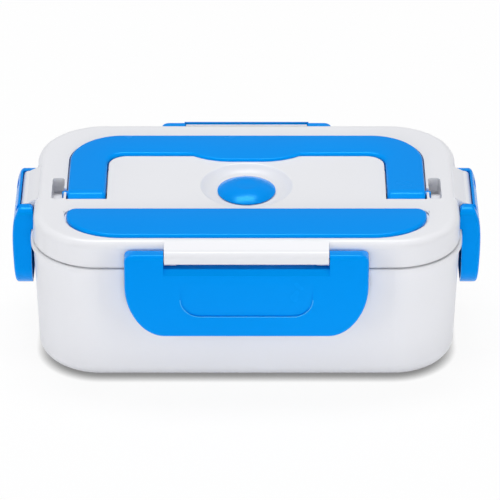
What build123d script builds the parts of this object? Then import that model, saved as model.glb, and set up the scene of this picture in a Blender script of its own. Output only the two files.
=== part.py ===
from build123d import *
from math import asin, atan2, degrees, radians, sqrt, tan
import os

# Electric lunch box with a lift-off lid, four flip clips and a folding handle.
# Millimetres. Origin under the middle of the box, on the table. Front is -Y, up is +Z.

# ------------------------------------------------------------------ base shell
body_length = 214.0  # base wall at the rim, along X
body_width = 126.0  # base wall at the rim, along Y
corner_radius = 33.6  # plan corner of that wall
foot_stand = 1.0  # the base hangs this far above the table
rim_height = 66.2  # top of the base above the table
band_height = 3.0  # proud band at the rim that the clips hook under
band_proud = 1.2
band_round = 0.7
wall_draft = 2.0  # degrees
shell_wall = 2.4
bottom_round = 8.0
seat_gap = 0.1  # between pieces that stand on each other
slide_gap = 0.3  # between pieces that pass each other

# ------------------------------------------------------------------ lid shell
seam_gap = 0.4  # dark line between base and lid
lid_height = 13.9
lid_draft = 1.5  # degrees
lid_wall = 2.2
lid_round = 4.0
pocket_wall = 1.6
lid_bottom = rim_height + seam_gap
lid_top = lid_bottom + lid_height
flush_proud = 1.5  # the handle and the spoon cover stand this far above the lid
cover_top = lid_top + flush_proud

# ------------------------------------------------------------------ inner tub and its rim
tub_flange_thickness = 1.6
tub_flange_drop = 0.2  # flange top below the top of the rim
tub_flange_overlap = 1.4  # housing ledge under the flange
tub_wall = 2.0
tub_step = 1.8  # depth of the step that takes the tray's flange
tub_step_width = 3.2
tub_floor_top = 24.4
tub_floor_thickness = 3.4
tub_inset = 9.4  # from the base wall to the tub's inner wall at its top
tub_draft = 3.0  # degrees
tub_floor_round = 6.0

# ------------------------------------------------------------------ tray and side dish
steel = 0.6
tray_gap = 0.6
tray_flange_width = 3.0
tray_floor_gap = 0.3
tray_round = 5.0
dish_length = 70.0
dish_width = 92.0
dish_x = 57.0
dish_corner = 16.0
dish_wall = 1.4
dish_height = 33.0
dish_draft = 2.5
dish_rim_height = 2.4
dish_rim_proud = 1.2
dish_lid_thickness = 1.4
dish_lid_skirt = 3.2
dish_tab_length = 9.0
dish_tab_width = 22.0

# ------------------------------------------------------------------ handle
pivot_y = -9.0
pivot_height = 77.6
stub_radius = 2.2
stub_fit = 0.08
stub_neck = 3.8  # the slot that the stubs snap through
stub_reach = 3.0
handle_thickness = 6.4
handle_outer_x = 89.4
handle_inner_x = 72.6
handle_end_y = -17.2
handle_rear_y = 47.1
handle_grip_y = 27.6  # inner edge of the grip
handle_bulge_y = 21.9  # inner edge of the finger bulge
bulge_outer_x = 27.7
bulge_inner_x = 8.0
handle_outer_corner = 26.0
handle_inner_corner = 9.0
handle_round = 1.2
handle_bevel_length = 3.6
handle_bevel_drop = 2.2
handle_toe_round = 2.0
channel_side_gap = 1.4
channel_inner_gap = 2.4
channel_end_gap = 0.9
channel_front_gap = 0.6
channel_under_gap = 0.4
end_pocket_y = -2.0  # rear end of the deep part of the channel
end_pocket_gap = 0.4
stub_wall = 1.2
stub_pocket_length = 6.2
stub_pocket_rear_y = 3.8
stub_pocket_floor = 72.0
pocket_corner = 2.0
end_pocket_wall = 1.2

# ------------------------------------------------------------------ spoon compartment
recess_end_x = 91.1
recess_rear_y = -29.0
recess_front_y = -57.9
recess_curve_x = 61.5  # where the front corner curve starts
recess_curve_y = -36.0  # where it ends
recess_rear_corner = 2.0
cover_end_gap = 1.2
cover_front_gap = 0.4
cover_rear_gap = 0.3
cover_thickness = 2.5
cover_barrel_radius = 1.8
cover_round = 1.4
cover_rear_corner = 4.0
cover_pin_radius = 1.0
cover_pin_length = 2.8
pin_fit = 0.06
cover_seat_gap = 0.2
cover_barrel_inset = 1.5
cover_ledge = 2.2
spoon_floor = 71.0

# ------------------------------------------------------------------ spoon
spoon_y = -42.3
spoon_bowl_x = -50.0
spoon_bowl_length, spoon_bowl_radius = 30.0, 15.0  # half axes of the ellipsoid the bowl is cut from
spoon_bowl_cut = 9.5  # the bowl's rim below that ellipsoid's axis
spoon_sheet = 1.2
spoon_neck_x, spoon_neck_half = -31.0, 3.6
spoon_end_x, spoon_end_half = 77.0, 6.0

# ------------------------------------------------------------------ vent
vent_y = -3.6
vent_dish_radius = 23.2
vent_floor_radius = 16.0
vent_depth = 3.6
vent_rim_round = 0.8
vent_cap_radius = 14.7
vent_cap_height = 1.9
vent_dimple_radius = 6.5
vent_dimple_depth = 0.6  # below the top of the dome
vent_cap_edge = 0.8
vent_stem_radius = 4.0
vent_stem_gap = 0.3
vent_tube_wall = 1.8
vent_travel = 5.0
tube_end = 68.0
vent_barb_proud = 0.7
vent_barb_height = 1.6
vent_seal_height = 0.9
vent_seal_width = 2.2
vent_panel_gap = 2.0

# ------------------------------------------------------------------ lid inner panel
panel_inset = 7.6
panel_thickness = 1.6
panel_bottom = 65.2
panel_flange_bottom = 67.7
panel_flange_thickness = 1.2
gasket_width = 2.6

# ------------------------------------------------------------------ clips
clip_pivot_out = 4.2  # hinge axis, outward from the base wall
clip_pivot_height = 77.0
ear_radius = 3.9
boss_bottom = 72.6
knuckle_length = 6.0
knuckle_drop = 1.4
boss_chamfer = 1.2
boss_slant = 1.4
boss_gap = 0.4  # between an ear and the end of its boss
clip_pin_radius = 1.3
clip_pin_length = 3.0
notch_height = 69.6
clip_wall = 2.0
clip_inner_gap = 0.35
clip_round = 1.4
ear_corner = 5.0
ear_top = 80.3
notch_bevel_height = 3.0
notch_bevel_depth = 1.4
catch_slope = 1.0
catch_drop = 0.3
catch_height = 2.2
front_half, front_notch, front_bottom = 60.3, 41.0, 31.5
rear_half, rear_notch, rear_bottom = 44.4, 31.9, 31.5
side_half, side_notch, side_bottom = 23.5, 17.5, 25.5
front_bow, front_bow_height, front_toe = 8.3, 64.0, 6.9
side_bow, side_bow_height, side_toe = 11.0, 61.0, 9.6
front_corner_x, front_corner_z = 19.8, 28.5
rear_corner_x, rear_corner_z = 18.0, 26.0
side_corner_x, side_corner_z = 13.0, 16.0
thumb_half = 32.8
thumb_top, thumb_bottom = 62.0, 43.0
thumb_corner = 10.0
thumb_depth = 0.8

# ------------------------------------------------------------------ heater bay
plate_length, plate_width, plate_corner = 110.0, 72.0, 20.0
plate_thickness = 1.6
plate_ledge = 5.0
plate_stand = 0.2  # the plate stands this far above the tub's floor
seal_thickness = 0.6
heater_length, heater_width, heater_height = 64.0, 24.0, 7.0
stud_x, stud_radius = 42.0, 3.5
strap_thickness, strap_width = 1.2, 14.0
clamp_screw_radius, clamp_head_radius, clamp_head_height = 1.5, 2.8, 2.0
clamp_screw_length = 6.0
screw_bite = 0.02  # clearance of a screw in its bore
seal_width = 4.0
strap_gap = 0.1
thermostat_x, thermostat_y, thermostat_radius, thermostat_height = -18.0, 21.5, 8.0, 6.0
fuse_x, fuse_y, fuse_radius, fuse_length = 14.0, 19.0, 2.2, 14.0
wire_radius = 1.0
wire_gap = 0.2
wire_bend = 5.0
wire_spread = 14.0
inlet_x, inlet_z = 57.0, 14.6
inlet_flange_length, inlet_flange_height = 23.0, 12.6
inlet_flange_thickness = 1.6
inlet_body_length, inlet_body_height, inlet_depth = 20.0, 10.2, 13.0
socket_length, socket_height, socket_depth = 16.2, 8.2, 9.0
inlet_pin_pitch, inlet_pin_radius = 8.6, 1.18
tab_length, tab_width, tab_thickness = 6.0, 3.0, 0.8
inlet_sink = 1.0  # the inlet's rebate is this much deeper than its flange, for the draft
inlet_pin_sink = 1.5
lens_x, lens_radius, lens_flange, led_radius, led_length = 36.0, 2.0, 3.2, 1.5, 5.0
lens_flange_thickness, lens_length = 1.0, 3.0

# ------------------------------------------------------------------ underside
cover_plate_length, cover_plate_width, cover_plate_corner = 150.0, 70.0, 10.0
cover_plate_thickness = 1.4
cover_plate_lip = 4.0
screw_x, screw_y = 67.0, 25.0
screw_radius, screw_head_radius, screw_head_height = 1.5, 3.0, 1.2
screw_sink = 0.2  # the heads sit this far inside the plate
screw_length = 12.0
post_radius = 4.0
foot_x, foot_y, foot_radius, foot_height = 84.0, 38.0, 6.0, 2.4
foot_round = 0.6

# Worked-out sizes
base_bottom = foot_stand
band_bottom = rim_height - band_height
half_x, half_y = body_length / 2, body_width / 2
tub_flange_top = rim_height - tub_flange_drop
housing_ledge = tub_flange_top - tub_flange_thickness
tub_floor_bottom = tub_floor_top - tub_floor_thickness
tray_seat = tub_flange_top - tub_step
floor_top = base_bottom + shell_wall
plate_top = tub_floor_top + plate_stand
plate_bottom = plate_top - plate_thickness
heater_bottom = plate_bottom - seat_gap - heater_height
heater_mid = plate_bottom - heater_height / 2
strap_top = heater_bottom - strap_gap
fuse_height = plate_bottom - 2 * seat_gap - fuse_radius
tab_end_y = half_y - inlet_sink - inlet_depth - tab_length
tray_flange_top = tray_seat + seat_gap + steel
tray_floor = plate_top + tray_floor_gap
dish_floor = tray_floor + steel + slide_gap
dish_top = dish_floor + dish_height
dish_lid_grow = dish_rim_proud + slide_gap + dish_lid_thickness
cover_pivot_y = recess_rear_y - cover_rear_gap - cover_barrel_radius
cover_pivot_height = cover_top - cover_barrel_radius
cover_barrel_x = recess_end_x - cover_end_gap - cover_barrel_inset
cover_ledge_height = cover_top - cover_thickness - cover_seat_gap
handle_bottom = cover_top - handle_thickness
channel_floor = handle_bottom - channel_under_gap
channel_outer_x = handle_outer_x + channel_side_gap
channel_inner_x = handle_inner_x - channel_inner_gap
channel_front_y = handle_end_y - channel_end_gap
end_pocket_reach = sqrt((pivot_y - handle_end_y) ** 2 + (pivot_height - handle_bottom) ** 2)
end_pocket_floor = pivot_height - end_pocket_reach - end_pocket_gap
spoon_seat = spoon_floor + seat_gap
spoon_rim = spoon_seat + spoon_bowl_radius - spoon_bowl_cut
vent_floor = lid_top - vent_depth
boss_radius = lid_top - clip_pivot_height
band_gap_top = rim_height + 2 * clip_inner_gap
catch_top = band_bottom - catch_drop
hollow_top = notch_height - notch_bevel_height
lid_lean = (panel_flange_bottom + panel_flange_thickness - lid_bottom) * tan(radians(lid_draft))
tube_radius = vent_stem_radius + vent_stem_gap + vent_tube_wall
wall_lean = (band_bottom - inlet_z + lens_flange) * tan(radians(wall_draft))

front = Plane(origin=(0, -half_y, 0), x_dir=(1, 0, 0), z_dir=(0, -1, 0))
rear = Plane(origin=(0, half_y, 0), x_dir=(-1, 0, 0), z_dir=(0, 1, 0))
left = Plane(origin=(-half_x, 0, 0), x_dir=(0, -1, 0), z_dir=(-1, 0, 0))
right = Plane(origin=(half_x, 0, 0), x_dir=(0, 1, 0), z_dir=(1, 0, 0))
inlet_face = rear.offset(-inlet_sink)
lens_seat = rear.offset(-shell_wall - wall_lean - seat_gap)


def rounded_block(length, width, radius, start, end, taper=0.0, centre=(0, 0), mode=Mode.ADD):
    """Upright block with round plan corners; its plan size is the one at the start height."""
    upward = 1 if end > start else -1
    level = Plane(origin=(centre[0], centre[1], start), x_dir=(1, 0, 0), z_dir=(0, 0, upward))
    with BuildSketch(level) as plan:
        RectangleRounded(length, width, radius)
    extrude(plan.sketch, amount=abs(end - start), taper=taper, mode=mode)


def inset_block(inset, start, end, taper=0.0, mode=Mode.ADD):
    """Block that follows the base wall's plan, moved inward by the inset."""
    rounded_block(body_length - 2 * inset, body_width - 2 * inset, corner_radius - inset,
                  start, end, taper=taper, mode=mode)


def level_edges(builder, height):
    """Edges of the active part that lie at one height."""
    return builder.edges().filter_by_position(Axis.Z, height - 0.01, height + 0.01)


def cross_section(side):
    """Plane across one side of the box: outward along X, up along Y."""
    return Plane(origin=side.origin, x_dir=side.z_dir, z_dir=-side.x_dir)


# ------------------------------------------------------------------ outer housing
with BuildPart() as housing_space:
    inset_block(shell_wall, band_bottom, floor_top, taper=wall_draft)
    fillet(level_edges(housing_space, floor_top), bottom_round - shell_wall)

with BuildPart() as outer_housing:
    inset_block(0, band_bottom, base_bottom, taper=wall_draft)
    fillet(level_edges(outer_housing, base_bottom), bottom_round)
    inset_block(-band_proud, band_bottom, rim_height)
    fillet(level_edges(outer_housing, rim_height), band_round)
    add(housing_space.part, mode=Mode.SUBTRACT)
    inset_block(shell_wall, rim_height, band_bottom, mode=Mode.SUBTRACT)
    inset_block(shell_wall - tub_flange_overlap, rim_height, housing_ledge, mode=Mode.SUBTRACT)
    # opening in the underside with a rebate for the closing plate
    rounded_block(cover_plate_length + 2 * seat_gap, cover_plate_width + 2 * seat_gap,
                  cover_plate_corner, base_bottom, base_bottom + cover_plate_thickness,
                  mode=Mode.SUBTRACT)
    rounded_block(cover_plate_length - 2 * cover_plate_lip, cover_plate_width - 2 * cover_plate_lip,
                  cover_plate_corner - cover_plate_lip, base_bottom, floor_top, mode=Mode.SUBTRACT)
    # seats of the feet
    with Locations(Location((0, 0, base_bottom))):
        with GridLocations(2 * foot_x, 2 * foot_y, 2, 2):
            Cylinder(foot_radius + seat_gap, foot_height - foot_stand, mode=Mode.SUBTRACT,
                     align=(Align.CENTER, Align.CENTER, Align.MIN))

    # rebate and hole for the mains inlet, and the hole of the indicator lens
    with BuildSketch(rear) as inlet_seat:
        with Locations((-inlet_x, inlet_z)):
            RectangleRounded(inlet_flange_length + 2 * seat_gap, inlet_flange_height + 2 * seat_gap, 3)
    extrude(inlet_seat.sketch, amount=-inlet_flange_thickness - inlet_sink, mode=Mode.SUBTRACT)
    with BuildSketch(rear) as inlet_hole:
        with Locations((-inlet_x, inlet_z)):
            Rectangle(inlet_body_length + 2 * seat_gap, inlet_body_height + 2 * seat_gap)
        with Locations((-lens_x, inlet_z)):
            Circle(lens_radius + seat_gap)
    extrude(inlet_hole.sketch, amount=-2 * shell_wall - inlet_sink, mode=Mode.SUBTRACT)

# ------------------------------------------------------------------ closing plate, screws, feet
with BuildPart() as bottom_cover:
    rounded_block(cover_plate_length, cover_plate_width, cover_plate_corner,
                  base_bottom, base_bottom + cover_plate_thickness)
    rounded_block(cover_plate_length - 2 * cover_plate_lip - 2 * slide_gap,
                  cover_plate_width - 2 * cover_plate_lip - 2 * slide_gap,
                  cover_plate_corner - cover_plate_lip, base_bottom, floor_top)
    with Locations(Location((0, 0, base_bottom))):
        with GridLocations(2 * screw_x, 2 * screw_y, 2, 2):
            Cylinder(screw_head_radius + seat_gap, screw_head_height + screw_sink, mode=Mode.SUBTRACT,
                     align=(Align.CENTER, Align.CENTER, Align.MIN))
            Cylinder(screw_radius + seat_gap, shell_wall, mode=Mode.SUBTRACT,
                     align=(Align.CENTER, Align.CENTER, Align.MIN))

with BuildPart() as bottom_screws:
    with Locations(Location((0, 0, base_bottom + screw_sink))):
        with GridLocations(2 * screw_x, 2 * screw_y, 2, 2):
            Cylinder(screw_head_radius, screw_head_height - seat_gap,
                     align=(Align.CENTER, Align.CENTER, Align.MIN))
            Cylinder(screw_radius, screw_length, align=(Align.CENTER, Align.CENTER, Align.MIN))

with BuildPart() as feet:
    with GridLocations(2 * foot_x, 2 * foot_y, 2, 2):
        Cylinder(foot_radius, foot_height, align=(Align.CENTER, Align.CENTER, Align.MIN))
    fillet(level_edges(feet, 0), foot_round)

# ------------------------------------------------------------------ inner tub
with BuildPart() as tub_space:
    inset_block(tub_inset, tray_seat, tub_floor_top, taper=tub_draft)
    fillet(level_edges(tub_space, tub_floor_top), tub_floor_round)

with BuildPart() as inner_tub:
    inset_block(tub_inset - tub_wall, housing_ledge, tub_floor_bottom, taper=tub_draft)
    fillet(level_edges(inner_tub, tub_floor_bottom), tub_floor_round)
    inset_block(tub_inset - tub_wall - tub_step_width, housing_ledge, housing_ledge - tub_wall)
    inset_block(shell_wall - tub_flange_overlap + seat_gap, housing_ledge, tub_flange_top)
    inset_block(tub_inset - tub_step_width, tub_flange_top, tray_seat, mode=Mode.SUBTRACT)
    add(tub_space.part, mode=Mode.SUBTRACT)
    # seat of the heating plate and the hole under it
    rounded_block(plate_length + 2 * slide_gap, plate_width + 2 * slide_gap, plate_corner + slide_gap,
                  tub_floor_top, plate_bottom - seat_gap - seal_thickness, mode=Mode.SUBTRACT)
    rounded_block(plate_length - 2 * plate_ledge, plate_width - 2 * plate_ledge,
                  plate_corner - plate_ledge, tub_floor_top, tub_floor_bottom, mode=Mode.SUBTRACT)
    # posts for the screws of the closing plate
    with Locations(Location((0, 0, floor_top + seat_gap))):
        with GridLocations(2 * screw_x, 2 * screw_y, 2, 2):
            Cylinder(post_radius, tub_floor_bottom - floor_top - seat_gap,
                     align=(Align.CENTER, Align.CENTER, Align.MIN))
            Cylinder(screw_radius + screw_bite, screw_length, mode=Mode.SUBTRACT,
                     align=(Align.CENTER, Align.CENTER, Align.MIN))

# ------------------------------------------------------------------ heating plate and what hangs on it
with BuildPart() as plate_seal:
    rounded_block(plate_length, plate_width, plate_corner,
                  plate_bottom - seat_gap / 2 - seal_thickness, plate_bottom - seat_gap / 2)
    rounded_block(plate_length - 2 * seal_width, plate_width - 2 * seal_width, plate_corner - seal_width,
                  plate_bottom - seat_gap / 2 - seal_thickness, plate_bottom, mode=Mode.SUBTRACT)

with BuildPart() as heating_plate:
    rounded_block(plate_length, plate_width, plate_corner, plate_bottom, plate_top)
    fillet(level_edges(heating_plate, plate_top), plate_thickness / 4)
    with Locations(Location((0, 0, strap_top + seat_gap))):
        with GridLocations(2 * stud_x, 1, 2, 1):
            Cylinder(stud_radius, plate_bottom - strap_top - seat_gap,
                     align=(Align.CENTER, Align.CENTER, Align.MIN))
            Cylinder(clamp_screw_radius + screw_bite, clamp_screw_length, mode=Mode.SUBTRACT,
                     align=(Align.CENTER, Align.CENTER, Align.MIN))

with BuildPart() as ptc_heater:
    rounded_block(heater_length, heater_width, heater_width / 12, heater_bottom, plate_bottom - seat_gap)

with BuildPart() as heater_clamp:
    rounded_block(2 * (stud_x + strap_width / 2), strap_width, strap_width / 2 - seat_gap,
                  strap_top - strap_thickness, strap_top)
    with Locations(Location((0, 0, strap_top - strap_thickness))):
        with GridLocations(2 * stud_x, 1, 2, 1):
            Cylinder(clamp_screw_radius + seat_gap, strap_thickness, mode=Mode.SUBTRACT,
                     align=(Align.CENTER, Align.CENTER, Align.MIN))

with BuildPart() as clamp_screws:
    with Locations(Location((0, 0, strap_top - strap_thickness - seat_gap))):
        with GridLocations(2 * stud_x, 1, 2, 1):
            Cylinder(clamp_head_radius, clamp_head_height,
                     align=(Align.CENTER, Align.CENTER, Align.MAX))
            Cylinder(clamp_screw_radius, clamp_screw_length,
                     align=(Align.CENTER, Align.CENTER, Align.MIN))

with BuildPart() as thermostat:
    with Locations((thermostat_x, thermostat_y, plate_bottom - seat_gap)):
        Cylinder(thermostat_radius, thermostat_height, align=(Align.CENTER, Align.CENTER, Align.MAX))
    with Locations((thermostat_x, thermostat_y, plate_bottom - seat_gap - thermostat_height)):
        Cylinder(thermostat_radius * 0.8, thermostat_height / 4,
                 align=(Align.CENTER, Align.CENTER, Align.MAX))

with BuildPart() as thermal_fuse:
    with BuildSketch(Plane.YZ.offset(fuse_x - fuse_length / 2)):
        with Locations((fuse_y, fuse_height)):
            Circle(fuse_radius)
    extrude(amount=fuse_length)
    chamfer(thermal_fuse.edges().filter_by(GeomType.CIRCLE), fuse_radius / 4)

# ------------------------------------------------------------------ mains inlet and indicator
with BuildPart() as power_inlet:
    with BuildSketch(inlet_face):
        with Locations((-inlet_x, inlet_z)):
            RectangleRounded(inlet_flange_length, inlet_flange_height, 3 - seat_gap)
    extrude(amount=-inlet_flange_thickness)
    fillet(power_inlet.faces().sort_by(Axis.Y)[-1].edges(), inlet_flange_thickness / 4)
    with BuildSketch(inlet_face):
        with Locations((-inlet_x, inlet_z)):
            Rectangle(inlet_body_length, inlet_body_height)
    extrude(amount=-inlet_depth)
    with BuildSketch(inlet_face) as socket:
        with Locations((-inlet_x, inlet_z)):
            SlotOverall(socket_length, socket_height)
    extrude(socket.sketch, amount=-socket_depth, mode=Mode.SUBTRACT)
    with BuildSketch(inlet_face.offset(-inlet_depth)) as pin_holes:
        with Locations((-inlet_x, inlet_z)):
            with GridLocations(inlet_pin_pitch, 1, 2, 1):
                Circle(inlet_pin_radius + seat_gap / 2)
    extrude(pin_holes.sketch, amount=inlet_depth, mode=Mode.SUBTRACT)

with BuildPart() as inlet_pins:
    with BuildSketch(inlet_face.offset(-inlet_depth - tab_length)):
        with Locations((-inlet_x, inlet_z)):
            with GridLocations(inlet_pin_pitch, 1, 2, 1):
                Rectangle(tab_width, tab_thickness)
    extrude(amount=tab_length - seat_gap)
    with BuildSketch(inlet_face.offset(-inlet_depth - tab_length / 2)):
        with Locations((-inlet_x, inlet_z)):
            with GridLocations(inlet_pin_pitch, 1, 2, 1):
                Circle(inlet_pin_radius)
    extrude(amount=inlet_depth + tab_length / 2 - inlet_pin_sink)
    fillet(inlet_pins.faces().sort_by(Axis.Y)[-2:].edges(), inlet_pin_radius / 2)

with BuildPart() as indicator_lens:
    with BuildSketch(lens_seat):
        with Locations((-lens_x, inlet_z)):
            Circle(lens_flange)
    extrude(amount=-lens_flange_thickness)
    with BuildSketch(lens_seat):
        with Locations((-lens_x, inlet_z)):
            Circle(lens_radius)
    extrude(amount=lens_length)
    fillet(indicator_lens.faces().sort_by(Axis.Y)[-1].edges(), lens_radius / 4)

with BuildPart() as indicator_led:
    with BuildSketch(lens_seat.offset(-lens_flange_thickness - seat_gap)):
        with Locations((-lens_x, inlet_z)):
            Circle(led_radius)
    extrude(amount=-led_length)


def lead(*points):
    """Insulated wire along straight runs joined by arcs."""
    with BuildPart() as wire:
        with BuildLine() as route:
            FilletPolyline(*points, radius=wire_bend)
        with BuildSketch(Plane(origin=route.line @ 0, z_dir=route.line % 0)):
            Circle(wire_radius)
        sweep(path=route.line)
    return wire


live_lead = lead((inlet_x - inlet_pin_pitch / 2, tab_end_y - wire_gap, inlet_z),
                 (inlet_x - inlet_pin_pitch / 2, fuse_y + wire_spread, inlet_z),
                 (fuse_x + fuse_length / 2 + wire_spread, fuse_y, fuse_height),
                 (fuse_x + fuse_length / 2 + wire_gap, fuse_y, fuse_height))
neutral_lead = lead((inlet_x + inlet_pin_pitch / 2, tab_end_y - wire_gap, inlet_z),
                    (inlet_x + inlet_pin_pitch / 2, wire_spread, inlet_z),
                    (stud_x + stud_radius + wire_spread / 2, stud_radius + 2 * wire_radius, heater_mid),
                    (heater_length / 2 + wire_gap, stud_radius + 2 * wire_radius, heater_mid))
link_lead = lead((fuse_x - fuse_length / 2 - wire_gap, fuse_y, fuse_height),
                 (thermostat_x + thermostat_radius + wire_spread / 2, fuse_y, fuse_height),
                 (thermostat_x + thermostat_radius + 3 * wire_gap, thermostat_y, fuse_height))

# ------------------------------------------------------------------ food tray
with BuildPart() as tray_space:
    inset_block(tub_inset + tray_gap + steel, tray_flange_top, tray_floor + steel, taper=tub_draft)
    fillet(level_edges(tray_space, tray_floor + steel), tray_round - steel)

with BuildPart() as food_tray:
    inset_block(tub_inset + tray_gap, tray_flange_top, tray_floor, taper=tub_draft)
    fillet(level_edges(food_tray, tray_floor), tray_round)
    inset_block(tub_inset + tray_gap - tray_flange_width, tray_flange_top, tray_flange_top - steel)
    add(tray_space.part, mode=Mode.SUBTRACT)

# ------------------------------------------------------------------ side dish and its lid
with BuildPart() as dish_space:
    rounded_block(dish_length - 2 * dish_wall, dish_width - 2 * dish_wall, dish_corner - dish_wall,
                  dish_top, dish_floor + dish_wall, taper=dish_draft, centre=(dish_x, 0))
    fillet(level_edges(dish_space, dish_floor + dish_wall), tray_round - dish_wall)

with BuildPart() as side_dish_box:
    rounded_block(dish_length, dish_width, dish_corner, dish_top, dish_floor, taper=dish_draft,
                  centre=(dish_x, 0))
    fillet(level_edges(side_dish_box, dish_floor), tray_round)
    rounded_block(dish_length + 2 * dish_rim_proud, dish_width + 2 * dish_rim_proud,
                  dish_corner + dish_rim_proud, dish_top, dish_top - dish_rim_height, centre=(dish_x, 0))
    add(dish_space.part, mode=Mode.SUBTRACT)

with BuildPart() as side_dish_lid:
    rounded_block(dish_length + 2 * dish_lid_grow, dish_width + 2 * dish_lid_grow,
                  dish_corner + dish_lid_grow, dish_top + seat_gap - dish_lid_skirt,
                  dish_top + seat_gap + dish_lid_thickness, centre=(dish_x, 0))
    fillet(level_edges(side_dish_lid, dish_top + seat_gap + dish_lid_thickness), dish_lid_thickness / 2)
    rounded_block(dish_length + 2 * dish_rim_proud + 2 * slide_gap,
                  dish_width + 2 * dish_rim_proud + 2 * slide_gap,
                  dish_corner + dish_rim_proud + slide_gap, dish_top + seat_gap - dish_lid_skirt,
                  dish_top + seat_gap, centre=(dish_x, 0), mode=Mode.SUBTRACT)
    # pull tab on the edge towards the middle of the tray
    rounded_block(2 * dish_tab_length, dish_tab_width, dish_tab_length / 2,
                  dish_top + seat_gap, dish_top + seat_gap + dish_lid_thickness,
                  centre=(dish_x - dish_length / 2 - dish_lid_grow, 0))

# ------------------------------------------------------------------ inner panel and gasket of the lid
with BuildPart() as lid_inner_panel:
    inset_block(panel_inset, panel_bottom, panel_flange_bottom + panel_flange_thickness)
    inset_block(lid_wall + seat_gap + lid_lean, panel_flange_bottom,
                panel_flange_bottom + panel_flange_thickness)
    inset_block(panel_inset + panel_thickness, panel_bottom + panel_thickness,
                panel_flange_bottom + panel_flange_thickness, mode=Mode.SUBTRACT)
    with Locations((0, vent_y, panel_bottom)):
        Cylinder(tube_radius + vent_panel_gap, panel_thickness, mode=Mode.SUBTRACT,
                 align=(Align.CENTER, Align.CENTER, Align.MIN))

with BuildPart() as lid_gasket:
    inset_block(panel_inset - seat_gap - gasket_width, tub_flange_top + seat_gap / 2,
                panel_flange_bottom - seat_gap / 2)
    inset_block(panel_inset - seat_gap, tub_flange_top, panel_flange_bottom, mode=Mode.SUBTRACT)


# ------------------------------------------------------------------ lid shell
def recess_outline(level, grow, rear_grow, end_x, rear_corner):
    """D-shaped outline of the spoon compartment, grown outward from its mouth."""
    with BuildSketch(Plane.XY.offset(level)) as outline:
        with BuildLine():
            rear_line = Line((0, recess_rear_y + rear_grow), (end_x, recess_rear_y + rear_grow))
            Line(rear_line @ 1, (end_x, recess_curve_y))
            EllipticalCenterArc((recess_curve_x, recess_curve_y), end_x - recess_curve_x,
                                recess_curve_y - recess_front_y + grow, start_angle=-90, arc_size=90)
            Line((recess_curve_x, recess_front_y - grow), (0, recess_front_y - grow))
            mirror(about=Plane.YZ)
        make_face()
        fillet(outline.vertices().group_by(Axis.Y)[-1], rear_corner)
    return outline.sketch


def channel_outline(level, grow):
    """U-shaped outline of the handle's channel, grown outward on every side."""
    outer_x = handle_outer_x + channel_side_gap + grow
    inner_x = handle_inner_x - channel_inner_gap - grow
    rear_y = handle_rear_y + channel_end_gap + grow
    grip_y = handle_grip_y - channel_front_gap - grow
    front_y = handle_end_y - channel_end_gap - grow
    bulge_y = handle_bulge_y - channel_front_gap - grow
    return bail_outline(level, outer_x, inner_x, rear_y, grip_y, front_y, bulge_y,
                        handle_outer_corner + grow, handle_inner_corner - grow)


def bail_outline(level, outer_x, inner_x, rear_y, grip_y, front_y, bulge_y, outer_corner, inner_corner):
    """U-shaped outline with a finger bulge in the middle of its grip."""
    middle = ((bulge_outer_x + bulge_inner_x) / 2, (grip_y + bulge_y) / 2)
    with BuildSketch(Plane.XY.offset(level)) as outline:
        with BuildLine():
            FilletPolyline((0, rear_y), (outer_x, rear_y), (outer_x, front_y), radius=outer_corner)
            Line((outer_x, front_y), (inner_x, front_y))
            FilletPolyline((inner_x, front_y), (inner_x, grip_y), (bulge_outer_x, grip_y),
                           radius=inner_corner)
            TangentArc((bulge_outer_x, grip_y), middle, tangent=(-1, 0))
            TangentArc((bulge_inner_x, bulge_y), middle, tangent=(1, 0))
            Line((bulge_inner_x, bulge_y), (0, bulge_y))
            mirror(about=Plane.YZ)
        make_face()
    return outline.sketch


def twin_block(x_near, x_far, y_near, y_far, start, end, corner, mode=Mode.ADD):
    """The same upright block on the left and on the right of the box."""
    for side in (-1, 1):
        rounded_block(x_far - x_near, y_far - y_near, corner, start, end,
                      centre=(side * (x_near + x_far) / 2, (y_near + y_far) / 2), mode=mode)


def cross_bar(y, z, radius, x_from, x_to, mode=Mode.ADD):
    """Round bar along X, on the left and on the right of the box."""
    for side in (-1, 1):
        with BuildSketch(Plane.YZ.offset(side * x_from)) as circle:
            with Locations((y, z)):
                Circle(radius)
        extrude(circle.sketch, amount=side * (x_to - x_from), mode=mode)


def clip_boss(side, notch):
    """Hinge boss on the lid's side, between the two ears of a clip."""
    end_x = notch - boss_gap
    front_v = clip_pivot_out + boss_radius
    with BuildPart() as boss:
        with BuildSketch(cross_section(side)) as bar:
            with BuildLine():
                Line((-lid_wall, lid_top), (clip_pivot_out, lid_top))
                CenterArc((clip_pivot_out, clip_pivot_height), boss_radius, 0, 90)
                Polyline((front_v, clip_pivot_height), (front_v, boss_bottom + boss_chamfer),
                         (front_v - boss_chamfer, boss_bottom), (-lid_wall, boss_bottom - boss_slant),
                         (-lid_wall, lid_top))
            make_face()
        extrude(bar.sketch, amount=end_x, both=True)
        knuckle_bottom = boss_bottom - knuckle_drop
        for end in (-1, 1):
            with BuildSketch(cross_section(side).offset(end * end_x)) as knuckle:
                Polygon((-lid_wall, boss_bottom), (front_v - boss_chamfer, boss_bottom),
                        (front_v - 2 * boss_chamfer, knuckle_bottom), (-lid_wall, knuckle_bottom), align=None)
            extrude(knuckle.sketch, amount=-end * knuckle_length)
            with BuildSketch(cross_section(side).offset(end * end_x)) as bore:
                with Locations((clip_pivot_out, clip_pivot_height)):
                    Circle(clip_pin_radius + pin_fit)
            extrude(bore.sketch, amount=-end * (clip_pin_length + slide_gap), mode=Mode.SUBTRACT)
    return boss.part


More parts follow.
